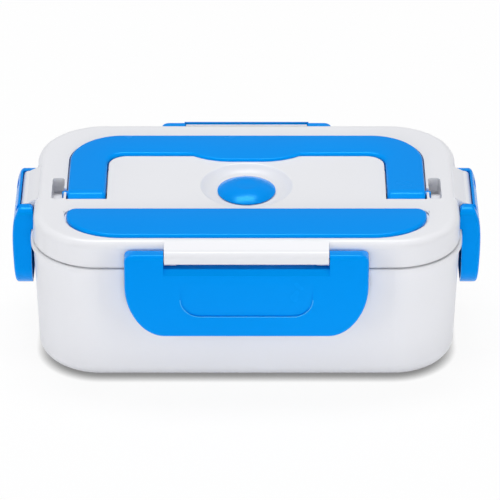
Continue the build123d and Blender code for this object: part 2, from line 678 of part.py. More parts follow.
with BuildPart() as lid_hollow:
    inset_block(lid_wall, lid_bottom, lid_top - lid_wall, taper=lid_draft)
    fillet(level_edges(lid_hollow, lid_top - lid_wall), lid_round - lid_wall)
    # the pockets of the lid's top keep their own walls in the hollow
    extrude(recess_outline(spoon_floor - pocket_wall, 2 * pocket_wall, pocket_wall,
                           recess_end_x + pocket_wall, recess_rear_corner + pocket_wall),
            amount=lid_height, mode=Mode.SUBTRACT)
    extrude(channel_outline(channel_floor - pocket_wall, pocket_wall), amount=lid_height, mode=Mode.SUBTRACT)
    twin_block(channel_inner_x - pocket_wall, channel_outer_x + stub_wall, channel_front_y - pocket_wall,
               end_pocket_y + pocket_wall, end_pocket_floor - end_pocket_wall, lid_top,
               pocket_corner + pocket_wall, mode=Mode.SUBTRACT)
    twin_block(channel_outer_x, channel_outer_x + stub_wall + stub_pocket_length + pocket_wall,
               channel_front_y - pocket_wall, stub_pocket_rear_y + pocket_wall,
               stub_pocket_floor - pocket_wall, lid_top, pocket_corner + pocket_wall, mode=Mode.SUBTRACT)
    with Locations((0, vent_y, lid_bottom)):
        Cylinder(tube_radius, lid_height, mode=Mode.SUBTRACT, align=(Align.CENTER, Align.CENTER, Align.MIN))
    with Locations((0, vent_y, vent_floor - pocket_wall)):
        Cylinder(vent_dish_radius + pocket_wall, lid_height, mode=Mode.SUBTRACT,
                 align=(Align.CENTER, Align.CENTER, Align.MIN))

with BuildPart() as lid_shell:
    inset_block(0, lid_bottom, lid_top, taper=lid_draft)
    fillet(level_edges(lid_shell, lid_top), lid_round)
    for side, notch in ((front, front_notch), (rear, rear_notch), (left, side_notch), (right, side_notch)):
        add(clip_boss(side, notch))
    add(lid_hollow.part, mode=Mode.SUBTRACT)
    # spoon compartment, the ledge under its cover and the bores of the cover's pins
    extrude(recess_outline(cover_ledge_height, 0, 0, recess_end_x, recess_rear_corner),
            amount=lid_height, mode=Mode.SUBTRACT)
    extrude(recess_outline(spoon_floor, -cover_ledge, 0, recess_end_x - cover_ledge, recess_rear_corner),
            amount=lid_height, mode=Mode.SUBTRACT)
    cross_bar(cover_pivot_y, cover_pivot_height, cover_pin_radius + pin_fit, recess_end_x - cover_ledge,
              cover_barrel_x + cover_pin_length + seat_gap, mode=Mode.SUBTRACT)
    # handle channel, its deep ends, the pockets outside them and the slots of the handle's stubs
    extrude(channel_outline(channel_floor, 0), amount=lid_height, mode=Mode.SUBTRACT)
    twin_block(channel_inner_x, channel_outer_x, channel_front_y, end_pocket_y, end_pocket_floor, lid_top,
               pocket_corner, mode=Mode.SUBTRACT)
    twin_block(channel_outer_x + stub_wall, channel_outer_x + stub_wall + stub_pocket_length, channel_front_y,
               stub_pocket_rear_y, stub_pocket_floor, lid_top, pocket_corner, mode=Mode.SUBTRACT)
    cross_bar(pivot_y, pivot_height, stub_radius + stub_fit, channel_outer_x - seat_gap,
              channel_outer_x + stub_wall + seat_gap, mode=Mode.SUBTRACT)
    twin_block(channel_outer_x - seat_gap, channel_outer_x + stub_wall + seat_gap,
               pivot_y - stub_neck / 2, pivot_y + stub_neck / 2, pivot_height, lid_top,
               seat_gap / 2, mode=Mode.SUBTRACT)
    # vent dish and the bore of the plug's stem, with the seat of its seal
    with BuildSketch(Plane.XZ.offset(-vent_y)) as dish:
        with BuildLine():
            Polyline((0, lid_top + 1), (0, vent_floor), (vent_floor_radius, vent_floor))
            bowl = TangentArc((vent_floor_radius, vent_floor), (vent_dish_radius, lid_top), tangent=(1, 0))
            Polyline(bowl @ 1, (vent_dish_radius, lid_top + 1), (0, lid_top + 1))
        make_face()
    revolve(dish.sketch, axis=Axis((0, vent_y, 0), (0, 0, 1)), mode=Mode.SUBTRACT)
    mouth = level_edges(lid_shell, lid_top).filter_by(GeomType.CIRCLE)
    fillet(mouth.filter_by(lambda edge: abs(edge.radius - vent_dish_radius) < seat_gap), vent_rim_round)
    with Locations((0, vent_y, lid_bottom)):
        Cylinder(vent_stem_radius + vent_stem_gap, lid_height, mode=Mode.SUBTRACT,
                 align=(Align.CENTER, Align.CENTER, Align.MIN))
        Cylinder(tube_radius, tube_end - lid_bottom, mode=Mode.SUBTRACT,
                 align=(Align.CENTER, Align.CENTER, Align.MIN))
    with Locations((0, vent_y, vent_floor - vent_seal_height)):
        Cylinder(vent_stem_radius + vent_stem_gap + vent_seal_width, lid_height, mode=Mode.SUBTRACT,
                 align=(Align.CENTER, Align.CENTER, Align.MIN))

# ------------------------------------------------------------------ vent plug and its seal
with BuildPart() as vent_plug:
    cap_bottom = vent_floor + seat_gap
    cap_top = cap_bottom + vent_cap_height
    barb_top = tube_end - vent_travel
    barb_radius = vent_stem_radius + vent_stem_gap + vent_barb_proud
    with BuildSketch(Plane.XZ.offset(-vent_y)) as profile:
        with BuildLine():
            dome = TangentArc((0, cap_top), (vent_cap_radius, cap_bottom + vent_cap_edge), tangent=(1, 0))
            Polyline(dome @ 1, (vent_cap_radius - vent_cap_edge, cap_bottom), (vent_stem_radius, cap_bottom),
                     (vent_stem_radius, barb_top), (barb_radius, barb_top),
                     (vent_stem_radius, barb_top - vent_barb_height), (0, barb_top - vent_barb_height),
                     (0, cap_top))
        make_face()
    revolve(profile.sketch, axis=Axis((0, vent_y, 0), (0, 0, 1)))
    with BuildSketch(Plane.XZ.offset(-vent_y)) as dimple:
        with BuildLine():
            dip = TangentArc((0, cap_top - vent_dimple_depth), (vent_dimple_radius, cap_top), tangent=(1, 0))
            Polyline(dip @ 1, (0, cap_top), dip @ 0)
        make_face()
    revolve(dimple.sketch, axis=Axis((0, vent_y, 0), (0, 0, 1)), mode=Mode.SUBTRACT)

with BuildPart() as vent_seal:
    with Locations((0, vent_y, vent_floor - vent_seal_height)):
        Cylinder(vent_stem_radius + vent_stem_gap + vent_seal_width - seat_gap, vent_seal_height,
                 align=(Align.CENTER, Align.CENTER, Align.MIN))
        Cylinder(vent_stem_radius + vent_stem_gap, vent_seal_height, mode=Mode.SUBTRACT,
                 align=(Align.CENTER, Align.CENTER, Align.MIN))

# ------------------------------------------------------------------ spoon cover
with BuildPart() as spoon_cover:
    plate = recess_outline(cover_top - cover_thickness, -cover_front_gap, -cover_rear_gap,
                           recess_end_x - cover_end_gap, cover_rear_corner)
    extrude(plate, amount=cover_thickness)
    with Locations((0, cover_pivot_y, cover_top)):
        Box(body_length, body_width, 2 * lid_height, mode=Mode.SUBTRACT,
            align=(Align.CENTER, Align.MIN, Align.CENTER))
    fillet(level_edges(spoon_cover, cover_top).sort_by(Axis.Y)[:-1], cover_round)
    with BuildSketch(Plane.YZ) as barrel:
        with Locations((cover_pivot_y, cover_pivot_height)):
            Circle(cover_barrel_radius)
    extrude(barrel.sketch, amount=cover_barrel_x, both=True)
    cross_bar(cover_pivot_y, cover_pivot_height, cover_pin_radius, cover_barrel_x - 1,
              cover_barrel_x + cover_pin_length)

# ------------------------------------------------------------------ handle
with BuildPart() as handle:
    extrude(bail_outline(handle_bottom, handle_outer_x, handle_inner_x, handle_rear_y, handle_grip_y,
                         handle_end_y, handle_bulge_y, handle_outer_corner, handle_inner_corner),
            amount=handle_thickness)
    fillet(level_edges(handle, cover_top), handle_round)
    with BuildSketch(Plane.YZ) as bevel:
        Polygon((handle_end_y + handle_bevel_length, cover_top), (handle_end_y, cover_top - handle_bevel_drop),
                (handle_end_y - 1, cover_top - handle_bevel_drop), (handle_end_y - 1, cover_top + 1),
                (handle_end_y + handle_bevel_length, cover_top + 1), align=None)
    extrude(bevel.sketch, amount=body_length / 2, both=True, mode=Mode.SUBTRACT)
    toes = handle.edges().filter_by(Axis.X).group_by(Axis.Y)[0].group_by(Axis.Z)[0]
    fillet(toes, handle_toe_round)
    cross_bar(pivot_y, pivot_height, stub_radius, handle_outer_x - 1, handle_outer_x + stub_reach)


# ------------------------------------------------------------------ clips
def flip_clip(side, half, notch, bottom, bow, bow_height, toe, corner_x, corner_z, thumb=False):
    """Clip with two hinge ears, a bowed hollow face and a catch rib under the base's band.

    Its face is drawn on the side's plane; its side view is two arcs that meet where it bows out
    most, the upper one tangent to the round ear.
    """
    reach = bow - clip_pivot_out
    rise = clip_pivot_height - bow_height
    upper_radius = (rise**2 + reach**2 - ear_radius**2) / (2 * (reach - ear_radius))
    upper_sweep = degrees(atan2(rise, upper_radius - reach))
    depth = bow_height - bottom
    lower_radius = ((bow - toe) ** 2 + depth**2) / (2 * (bow - toe))
    lower_sweep = degrees(asin(depth / lower_radius))
    lower_centre = (bow - lower_radius, bow_height)
    upper_centre = (bow - upper_radius, bow_height)
    pivot = (clip_pivot_out, clip_pivot_height)
    skirt_inner = band_proud + clip_inner_gap
    section = cross_section(side)

    with BuildPart() as hollow:
        with BuildSketch(section) as inner_side:
            with BuildLine():
                lower = CenterArc(lower_centre, lower_radius - clip_wall, -lower_sweep, lower_sweep)
                upper = CenterArc(upper_centre, upper_radius - clip_wall, 0, upper_sweep)
                Polyline(upper @ 1, (-bow, (upper @ 1).Y), (-bow, (lower @ 0).Y), lower @ 0)
            make_face()
        extrude(inner_side.sketch, amount=half, both=True)
        with BuildSketch(side.offset(-bow)) as inner_face:
            with BuildLine():
                Line((0, bottom + clip_wall), (half - corner_x, bottom + clip_wall))
                EllipticalCenterArc((half - corner_x, bottom + corner_z), corner_x - clip_wall,
                                    corner_z - clip_wall, start_angle=-90, arc_size=90)
                Polyline((half - clip_wall, bottom + corner_z), (half - clip_wall, hollow_top), (0, hollow_top))
                mirror(about=Plane.YZ)
            make_face()
        extrude(inner_face.sketch, amount=3 * bow, mode=Mode.INTERSECT)

    # shallow thumb panel that deepens towards its lower edge
    with BuildPart() as scoop:
        spots = []
        for share in (0, 0.5, 1):
            height = thumb_top + share * (thumb_bottom - thumb_top)
            face_out = lower_centre[0] + sqrt(lower_radius**2 - (bow_height - height) ** 2)
            spots.append((face_out - share * thumb_depth, height))
        with BuildSketch(section) as dent:
            with BuildLine():
                ThreePointArc(*spots)
                Polyline(spots[2], (2 * bow, thumb_bottom), (2 * bow, thumb_top), spots[0])
            make_face()
        extrude(dent.sketch, amount=thumb_half, both=True)
        outward = scoop.edges().filter_by(Axis((0, 0, 0), side.z_dir))
        fillet(outward.group_by(Axis.Z)[0], thumb_corner)

    with BuildPart() as clip:
        with BuildSketch(section) as outer_side:
            with BuildLine():
                CenterArc(lower_centre, lower_radius, -lower_sweep, lower_sweep)
                CenterArc(upper_centre, upper_radius, 0, upper_sweep)
                CenterArc(pivot, ear_radius, upper_sweep, 180 - upper_sweep)
                Polyline((clip_pivot_out - ear_radius, clip_pivot_height), (clip_inner_gap, band_gap_top),
                         (skirt_inner, band_gap_top), (skirt_inner, bottom), (toe, bottom))
            make_face()
        extrude(outer_side.sketch, amount=half, both=True)
        with BuildSketch(side.offset(-bow)) as face:
            with BuildLine():
                Line((0, bottom), (half - corner_x, bottom))
                EllipticalCenterArc((half - corner_x, bottom + corner_z), corner_x, corner_z,
                                    start_angle=-90, arc_size=90)
                FilletPolyline((half, bottom + corner_z), (half, ear_top), (notch, ear_top), radius=ear_corner)
                Polyline((notch, ear_top), (notch, notch_height), (0, notch_height))
                mirror(about=Plane.YZ)
            make_face()
        extrude(face.sketch, amount=3 * bow, mode=Mode.INTERSECT)

        def on_rim(edge):
            """Whether an edge of the face lies on the clip's sides or its lower curve."""
            place = side.to_local_coords(edge.center())
            on_side = abs(place.X) > half - clip_wall / 4 and place.Y < clip_pivot_height
            return place.Z > toe - 1 and (on_side or place.Y < bottom + corner_z - 1)

        fillet(clip.edges().filter_by(on_rim), clip_round)
        # bevel along the top of the face, between the ears
        with BuildSketch(section) as bevel:
            Polygon((bow, hollow_top), (2 * bow, hollow_top), (2 * bow, lid_top),
                    (bow - notch_bevel_depth, lid_top), (bow - notch_bevel_depth, notch_height), align=None)
        extrude(bevel.sketch, amount=notch, both=True, mode=Mode.SUBTRACT)
        add(hollow.part, mode=Mode.SUBTRACT)
        if thumb:
            add(scoop.part, mode=Mode.SUBTRACT)
        # catch rib and hinge pins
        with BuildSketch(section) as rib:
            Polygon((clip_inner_gap, catch_top), (bow - clip_wall / 2, catch_top),
                    (bow - clip_wall / 2, catch_top - catch_height - catch_slope),
                    (clip_inner_gap, catch_top - catch_height), align=None)
        extrude(rib.sketch, amount=notch, both=True)
        for end in (-1, 1):
            with BuildSketch(section.offset(end * notch)) as pin:
                with Locations(pivot):
                    Circle(clip_pin_radius)
            extrude(pin.sketch, amount=-end * clip_pin_length)
    return clip


front_clip = flip_clip(front, front_half, front_notch, front_bottom, front_bow, front_bow_height,
                       front_toe, front_corner_x, front_corner_z, thumb=True)
rear_clip = flip_clip(rear, rear_half, rear_notch, rear_bottom, front_bow, front_bow_height,
                      front_toe, rear_corner_x, rear_corner_z)
left_clip = flip_clip(left, side_half, side_notch, side_bottom, side_bow, side_bow_height,
                      side_toe, side_corner_x, side_corner_z)
right_clip = flip_clip(right, side_half, side_notch, side_bottom, side_bow, side_bow_height,
                       side_toe, side_corner_x, side_corner_z)

# ------------------------------------------------------------------ spoon
bowl_centre = (spoon_bowl_x, spoon_y, spoon_rim + spoon_bowl_cut)


def bowl_form(inset):
    """Ellipsoid that the spoon's bowl is a slice of, made smaller all round by the inset."""
    with BuildPart() as form:
        with BuildSketch(Plane(origin=bowl_centre, x_dir=(1, 0, 0), z_dir=(0, -1, 0))) as lower_half:
            Ellipse(spoon_bowl_length - inset, spoon_bowl_radius - inset)
            with Locations((0, spoon_bowl_radius)):
                Rectangle(3 * spoon_bowl_length, 2 * spoon_bowl_radius, mode=Mode.SUBTRACT)
        revolve(lower_half.sketch, axis=Axis(bowl_centre, (1, 0, 0)))
    return form.part


with BuildPart() as spoon:
    # stem: a strip that bends down to the floor, cut to a tapered outline with round ends
    with BuildSketch(Plane.XZ.offset(-spoon_y)) as strip:
        with BuildLine():
            lower = Spline((spoon_neck_x, spoon_rim - spoon_sheet), (spoon_end_x, spoon_seat),
                           tangents=((1, 0), (1, 0)))
            upper = Spline((spoon_neck_x, spoon_rim), (spoon_end_x, spoon_seat + spoon_sheet),
                           tangents=((1, 0), (1, 0)))
            Line(lower @ 0, upper @ 0)
            Line(lower @ 1, upper @ 1)
        make_face()
    extrude(strip.sketch, amount=2 * spoon_end_half, both=True)
    with BuildSketch(Plane.XY.offset(spoon_floor)) as taper:
        with Locations((spoon_neck_x + spoon_neck_half, spoon_y)):
            Circle(spoon_neck_half)
        with Locations((spoon_end_x - spoon_end_half, spoon_y)):
            Circle(spoon_end_half)
        make_hull()
    extrude(taper.sketch, amount=lid_height, mode=Mode.INTERSECT)
    add(bowl_form(0))
    with Locations(Location((spoon_bowl_x, spoon_y, spoon_rim))):
        Box(3 * spoon_bowl_length, 3 * spoon_bowl_radius, 3 * spoon_bowl_radius, mode=Mode.SUBTRACT,
            align=(Align.CENTER, Align.CENTER, Align.MIN))
    add(bowl_form(spoon_sheet), mode=Mode.SUBTRACT)

# ------------------------------------------------------------------ files
pieces = {
    "outer_housing": outer_housing, "bottom_cover": bottom_cover, "bottom_screws": bottom_screws,
    "feet": feet, "inner_tub": inner_tub, "plate_seal": plate_seal, "heating_plate": heating_plate,
    "ptc_heater": ptc_heater, "heater_clamp": heater_clamp, "clamp_screws": clamp_screws,
    "thermostat": thermostat, "thermal_fuse": thermal_fuse, "power_inlet": power_inlet,
    "inlet_pins": inlet_pins, "indicator_lens": indicator_lens, "indicator_led": indicator_led,
    "live_lead": live_lead, "neutral_lead": neutral_lead, "link_lead": link_lead,
    "food_tray": food_tray, "side_dish_box": side_dish_box, "side_dish_lid": side_dish_lid,
    "lid_shell": lid_shell, "lid_inner_panel": lid_inner_panel, "lid_gasket": lid_gasket,
    "vent_plug": vent_plug, "vent_seal": vent_seal, "spoon_cover": spoon_cover, "spoon": spoon,
    "handle": handle, "front_clip": front_clip, "rear_clip": rear_clip, "left_clip": left_clip,
    "right_clip": right_clip,
}
os.makedirs("parts", exist_ok=True)
for name, piece in pieces.items():
    piece.part.label = name
    export_step(piece.part, f"parts/{name}.step")
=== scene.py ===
import math

import bmesh
import bpy
import numpy as np
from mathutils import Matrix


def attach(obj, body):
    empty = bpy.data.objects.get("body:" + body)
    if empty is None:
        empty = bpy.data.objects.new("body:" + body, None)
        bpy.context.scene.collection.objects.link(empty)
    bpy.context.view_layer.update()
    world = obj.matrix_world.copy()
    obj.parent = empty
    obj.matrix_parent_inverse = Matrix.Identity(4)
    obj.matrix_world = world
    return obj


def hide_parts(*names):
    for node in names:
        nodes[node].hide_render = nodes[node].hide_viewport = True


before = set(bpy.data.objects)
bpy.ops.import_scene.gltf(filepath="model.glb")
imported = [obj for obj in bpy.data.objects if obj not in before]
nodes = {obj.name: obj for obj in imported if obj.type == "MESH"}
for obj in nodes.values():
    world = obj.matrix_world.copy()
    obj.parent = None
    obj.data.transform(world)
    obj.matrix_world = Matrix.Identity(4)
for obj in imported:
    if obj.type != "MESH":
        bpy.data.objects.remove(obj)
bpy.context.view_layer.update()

# ---------------------------------------------------------------- camera
AIM_HEIGHT = 0.04059
CAMERA_DISTANCE = 1.965
CAMERA_ELEVATION = math.radians(29.81)

lens_data = bpy.data.cameras.new("viewpoint")
lens_data.lens = 276.5
lens_data.sensor_width = 36.0
lens_data.shift_x = 0.007
viewpoint = bpy.data.objects.new("viewpoint", lens_data)
viewpoint.location = (0.0, -CAMERA_DISTANCE * math.cos(CAMERA_ELEVATION),
                      AIM_HEIGHT + CAMERA_DISTANCE * math.sin(CAMERA_ELEVATION))
viewpoint.rotation_euler = (math.pi / 2 - CAMERA_ELEVATION, 0.0, 0.0)
bpy.context.scene.collection.objects.link(viewpoint)
bpy.context.scene.camera = viewpoint
bpy.context.scene.view_settings.view_transform = "Standard"


# ---------------------------------------------------------------- light
def softbox(name, place, aim, width, depth, watts):
    """Rectangular lamp at one place, turned so that it faces the aim point."""
    lamp = bpy.data.lights.new(name, "AREA")
    lamp.shape = "RECTANGLE"
    lamp.size, lamp.size_y = width, depth
    lamp.energy = watts
    holder = bpy.data.objects.new(name, lamp)
    holder.location = place
    toward = np.array(aim, float) - np.array(place, float)
    yaw = math.atan2(toward[1], toward[0]) - math.pi / 2
    pitch = math.atan2(math.hypot(toward[0], toward[1]), -toward[2])
    holder.rotation_euler = (pitch, 0.0, yaw)
    bpy.context.scene.collection.objects.link(holder)


softbox("overhead_panel", (-0.05, 0.35, 1.5), (0.0, 0.0, 0.05), 0.8, 0.4, 16.5)
softbox("left_panel", (-1.5, -0.8, 0.5), (0.0, 0.0, 0.04), 0.5, 1.0, 7.5)
softbox("right_panel", (1.5, -0.8, 0.5), (0.0, 0.0, 0.04), 0.5, 1.0, 7.0)
softbox("front_panel", (0.0, -2.0, 0.35), (0.0, 0.0, 0.04), 1.4, 0.5, 12.0)


def material(name):
    """New node material with a shader linked to its output; returns material, node tree, shader and output."""
    made = bpy.data.materials.new(name)
    made.use_nodes = True
    tree = made.node_tree
    tree.nodes.clear()
    output = tree.nodes.new("ShaderNodeOutputMaterial")
    shader = tree.nodes.new("ShaderNodeBsdfPrincipled")
    tree.links.new(shader.outputs["BSDF"], output.inputs["Surface"])
    return made, tree, shader, output


def white_for_rays(tree, plain, bright):
    """A node that is 1 for camera, glossy and transmission rays, and a mix of a plain and a bright shader."""
    rays = tree.nodes.new("ShaderNodeLightPath")
    seen = tree.nodes.new("ShaderNodeMath")
    seen.operation = "MAXIMUM"
    tree.links.new(rays.outputs["Is Camera Ray"], seen.inputs[0])
    tree.links.new(rays.outputs["Is Glossy Ray"], seen.inputs[1])
    either = tree.nodes.new("ShaderNodeMath")
    either.operation = "MAXIMUM"
    tree.links.new(seen.outputs[0], either.inputs[0])
    tree.links.new(rays.outputs["Is Transmission Ray"], either.inputs[1])
    choice = tree.nodes.new("ShaderNodeMixShader")
    tree.links.new(plain, choice.inputs[1])
    tree.links.new(bright, choice.inputs[2])
    return either, choice


FLOOR_REACH = 6.0
FLOOR_GLOW_SHARE = 0.93  # of the floor's look; the rest is lit by the lamps
CONTACT_REACH = 0.006  # metres over which the painted contact shadow darkens the floor towards the box
CONTACT_OPENNESS = (0.2, 0.9)  # openness of the floor at its darkest and at its full white
CONTACT_DARKEST = 0.25  # brightness there, as a part of the full white


def studio_world():
    """Even pale sky. The floor reaches far behind the box, so no backdrop is needed."""
    world = bpy.data.worlds.new("studio")
    bpy.context.scene.world = world
    world.use_nodes = True
    tree = world.node_tree
    tree.nodes.clear()
    output = tree.nodes.new("ShaderNodeOutputWorld")
    sky = tree.nodes.new("ShaderNodeBackground")
    sky.inputs["Color"].default_value = (0.985, 0.99, 1.0, 1.0)
    sky.inputs["Strength"].default_value = 0.2
    tree.links.new(sky.outputs[0], output.inputs["Surface"])


def studio_floor():
    """Flat square floor at the height of the feet, white where it is seen, with a painted contact shadow near the box
    and a light shadow from the lamps.
    """
    corners = FLOOR_REACH * np.array([(-1, -1, 0), (1, -1, 0), (1, 1, 0), (-1, 1, 0)])
    mesh = bpy.data.meshes.new("studio_floor")
    mesh.from_pydata(corners, [], [(0, 1, 2, 3)])
    floor = bpy.data.objects.new("studio_floor", mesh)
    bpy.context.scene.collection.objects.link(floor)
    made, tree, shader, output = material("floor_white")
    shader.inputs["Base Color"].default_value = (0.9, 0.9, 0.91, 1.0)
    shader.inputs["Roughness"].default_value = 0.9
    shader.inputs["Specular IOR Level"].default_value = 0.1
    # painted contact shadow: the white that is seen darkens only where the box stands close over the floor
    nearness = tree.nodes.new("ShaderNodeAmbientOcclusion")
    nearness.samples = 16
    nearness.inputs["Distance"].default_value = CONTACT_REACH
    contact = tree.nodes.new("ShaderNodeMapRange")
    contact.inputs["From Min"].default_value = CONTACT_OPENNESS[0]
    contact.inputs["From Max"].default_value = CONTACT_OPENNESS[1]
    contact.inputs["To Min"].default_value = CONTACT_DARKEST
    contact.inputs["To Max"].default_value = 1.0
    tree.links.new(nearness.outputs["AO"], contact.inputs["Value"])
    glow = tree.nodes.new("ShaderNodeEmission")
    glow.inputs["Color"].default_value = (1.0, 1.0, 1.0, 1.0)
    tree.links.new(contact.outputs["Result"], glow.inputs["Strength"])
    either, choice = white_for_rays(tree, shader.outputs[0], glow.outputs[0])
    share = tree.nodes.new("ShaderNodeMath")
    share.operation = "MULTIPLY"
    share.inputs[1].default_value = FLOOR_GLOW_SHARE
    tree.links.new(either.outputs[0], share.inputs[0])
    tree.links.new(share.outputs[0], choice.inputs[0])
    tree.links.new(choice.outputs[0], output.inputs["Surface"])
    floor.data.materials.append(made)


studio_world()
studio_floor()


# ---------------------------------------------------------------- finishes
NOISE_LOW, NOISE_HIGH = 0.3, 0.7  # most noise values lie between these
GRAIN_DEPTH, SCRATCH_DEPTH = 0.00004, 0.00002  # metres


def noise(tree, scale, detail=2.0, roughness=0.5, stretch=None):
    """Noise on the object's own coordinates, optionally stretched along the axes; scale is per metre."""
    place = tree.nodes.new("ShaderNodeTexCoord")
    grain = tree.nodes.new("ShaderNodeTexNoise")
    grain.inputs["Scale"].default_value = scale
    grain.inputs["Detail"].default_value = detail
    grain.inputs["Roughness"].default_value = roughness
    if stretch:
        fit = tree.nodes.new("ShaderNodeMapping")
        fit.inputs["Scale"].default_value = stretch
        tree.links.new(place.outputs["Object"], fit.inputs["Vector"])
        tree.links.new(fit.outputs["Vector"], grain.inputs["Vector"])
    else:
        tree.links.new(place.outputs["Object"], grain.inputs["Vector"])
    return grain


def spread(tree, source, low, high):
    """Maps a noise value to a number between low and high."""
    span = tree.nodes.new("ShaderNodeMapRange")
    span.inputs["From Min"].default_value = NOISE_LOW
    span.inputs["From Max"].default_value = NOISE_HIGH
    span.inputs["To Min"].default_value = low
    span.inputs["To Max"].default_value = high
    tree.links.new(source, span.inputs["Value"])
    return span.outputs["Result"]


def tone(tree, source, dark, light):
    """Colour ramp between two close tones of the same finish."""
    ramp = tree.nodes.new("ShaderNodeValToRGB")
    ramp.color_ramp.elements[0].position = NOISE_LOW
    ramp.color_ramp.elements[1].position = NOISE_HIGH
    ramp.color_ramp.elements[0].color = (*dark, 1.0)
    ramp.color_ramp.elements[1].color = (*light, 1.0)
    tree.links.new(source, ramp.inputs["Fac"])
    return ramp.outputs["Color"]


def relief(tree, shader, source, strength, depth):
    """Small bumps from a noise value; depth in metres."""
    bump = tree.nodes.new("ShaderNodeBump")
    bump.inputs["Strength"].default_value = strength
    bump.inputs["Distance"].default_value = depth
    tree.links.new(source, bump.inputs["Height"])
    tree.links.new(bump.outputs["Normal"], shader.inputs["Normal"])


def moulded(name, dark, light, rough, gloss=0.4, grain=900.0, bumps=0.12, shine=(1.0, 1.0, 1.0),
            see_through=0.0):
    """Moulded plastic: slow shifts of tone, patchy gloss and a fine mould grain."""
    made, tree, shader, _ = material(name)
    slow = noise(tree, 9.0, detail=1.0)
    tree.links.new(tone(tree, slow.outputs["Fac"], dark, light), shader.inputs["Base Color"])
    patchy = noise(tree, 35.0, detail=3.0)
    tree.links.new(spread(tree, patchy.outputs["Fac"], rough[0], rough[1]), shader.inputs["Roughness"])
    fine = noise(tree, grain, detail=3.0, roughness=0.6)
    relief(tree, shader, fine.outputs["Fac"], bumps, GRAIN_DEPTH)
    shader.inputs["Specular IOR Level"].default_value = gloss
    shader.inputs["Specular Tint"].default_value = (*shine, 1.0)
    shader.inputs["Transmission Weight"].default_value = see_through
    return made


def metal(name, dark, light, rough, along=(1.0, 40.0, 40.0), scale=60.0, bumps=0.2):
    """Worked metal: fine scratches stretched along one axis in tone, gloss and relief."""
    made, tree, shader, _ = material(name)
    shader.inputs["Metallic"].default_value = 1.0
    lines = noise(tree, scale, detail=4.0, roughness=0.7, stretch=along)
    tree.links.new(tone(tree, lines.outputs["Fac"], dark, light), shader.inputs["Base Color"])
    tree.links.new(spread(tree, lines.outputs["Fac"], rough[0], rough[1]), shader.inputs["Roughness"])
    relief(tree, shader, lines.outputs["Fac"], bumps, SCRATCH_DEPTH)
    return made


white_plastic = moulded("white_satin_plastic", (0.785, 0.79, 0.82), (0.815, 0.82, 0.85), (0.30, 0.40), gloss=0.3)
blue_plastic = moulded("blue_satin_plastic", (0.0004, 0.27, 0.84), (0.0006, 0.29, 0.88), (0.2, 0.28), gloss=0.3,
                       grain=1100.0, bumps=0.05, shine=(0.0, 0.7, 1.0))
# lighter blue for the thumb bead: a painted highlight, in place of the light that the clip's rounded edge catches
painted_highlight_blue = moulded("blue_painted_highlight", (0.02, 0.42, 0.93), (0.03, 0.45, 0.96), (0.2, 0.28), gloss=0.5, bumps=0.05)
liner_plastic = moulded("liner_plastic", (0.66, 0.68, 0.72), (0.72, 0.74, 0.77), (0.5, 0.62), gloss=0.35)
panel_plastic = moulded("panel_plastic", (0.80, 0.81, 0.86), (0.84, 0.85, 0.89), (0.42, 0.55), gloss=0.35)
black_plastic = moulded("black_eroded_plastic", (0.02, 0.02, 0.022), (0.035, 0.035, 0.038), (0.45, 0.6),
                        grain=1800.0, bumps=0.5)
silicone = moulded("white_silicone", (0.74, 0.75, 0.77), (0.8, 0.81, 0.82), (0.55, 0.7), gloss=0.3, grain=500.0)
foot_rubber = moulded("grey_rubber", (0.12, 0.12, 0.125), (0.17, 0.17, 0.175), (0.7, 0.85), gloss=0.25, bumps=0.6)
lamp_plastic = moulded("red_lens_plastic", (0.55, 0.02, 0.015), (0.66, 0.03, 0.02), (0.08, 0.14), gloss=0.5,
                       see_through=0.5)
dish_plastic = moulded("milky_plastic", (0.80, 0.83, 0.86), (0.86, 0.88, 0.90), (0.34, 0.44), see_through=0.35)
dish_lid_plastic = moulded("blue_milky_plastic", (0.16, 0.42, 0.78), (0.2, 0.47, 0.84), (0.32, 0.42),
                           see_through=0.25)
red_wire = moulded("red_wire_cover", (0.45, 0.02, 0.015), (0.55, 0.03, 0.02), (0.4, 0.5))
blue_wire = moulded("blue_wire_cover", (0.02, 0.08, 0.38), (0.03, 0.1, 0.45), (0.4, 0.5))
brushed_steel = metal("brushed_steel", (0.52, 0.53, 0.55), (0.66, 0.67, 0.69), (0.24, 0.38))
polished_steel = metal("polished_steel", (0.6, 0.61, 0.63), (0.72, 0.73, 0.75), (0.10, 0.2), bumps=0.06)
zinc_steel = metal("zinc_plated_steel", (0.5, 0.51, 0.54), (0.62, 0.63, 0.66), (0.25, 0.4), along=(1, 1, 1))
spun_aluminium = metal("satin_aluminium", (0.62, 0.63, 0.65), (0.74, 0.75, 0.77), (0.3, 0.45))
plated_brass = metal("plated_brass", (0.62, 0.5, 0.26), (0.74, 0.62, 0.36), (0.15, 0.28), along=(20, 1, 20))

FINISHES = {
    white_plastic: ["outer_housing", "bottom_cover", "lid_shell"],
    panel_plastic: ["lid_inner_panel"],
    blue_plastic: ["handle", "spoon_cover", "vent_plug", "front_clip", "rear_clip", "left_clip", "right_clip"],
    liner_plastic: ["inner_tub"],
    black_plastic: ["power_inlet", "thermostat"],
    silicone: ["plate_seal", "lid_gasket", "vent_seal"],
    foot_rubber: ["feet"],
    lamp_plastic: ["indicator_lens", "indicator_led"],
    dish_plastic: ["side_dish_box"],
    dish_lid_plastic: ["side_dish_lid"],
    red_wire: ["live_lead", "link_lead"],
    blue_wire: ["neutral_lead"],
    brushed_steel: ["food_tray", "heater_clamp", "thermal_fuse"],
    polished_steel: ["spoon"],
    zinc_steel: ["bottom_screws", "clamp_screws"],
    spun_aluminium: ["heating_plate", "ptc_heater"],
    plated_brass: ["inlet_pins"],
}
for finish, names in FINISHES.items():
    for name in names:
        for socket in nodes[name].material_slots:
            socket.material = finish

# ---------------------------------------------------------------- surfaces worked out with numpy (millimetres)
LID_TOP, COVER_TOP = 80.5, 82.0
ROUND_STEPS = 6  # faces across a rounded edge
ROD_POINTS, ROD_EASE = 40, 0.3  # points round a rod, and the ease at its ends
FULL_TURN = 2 * math.pi


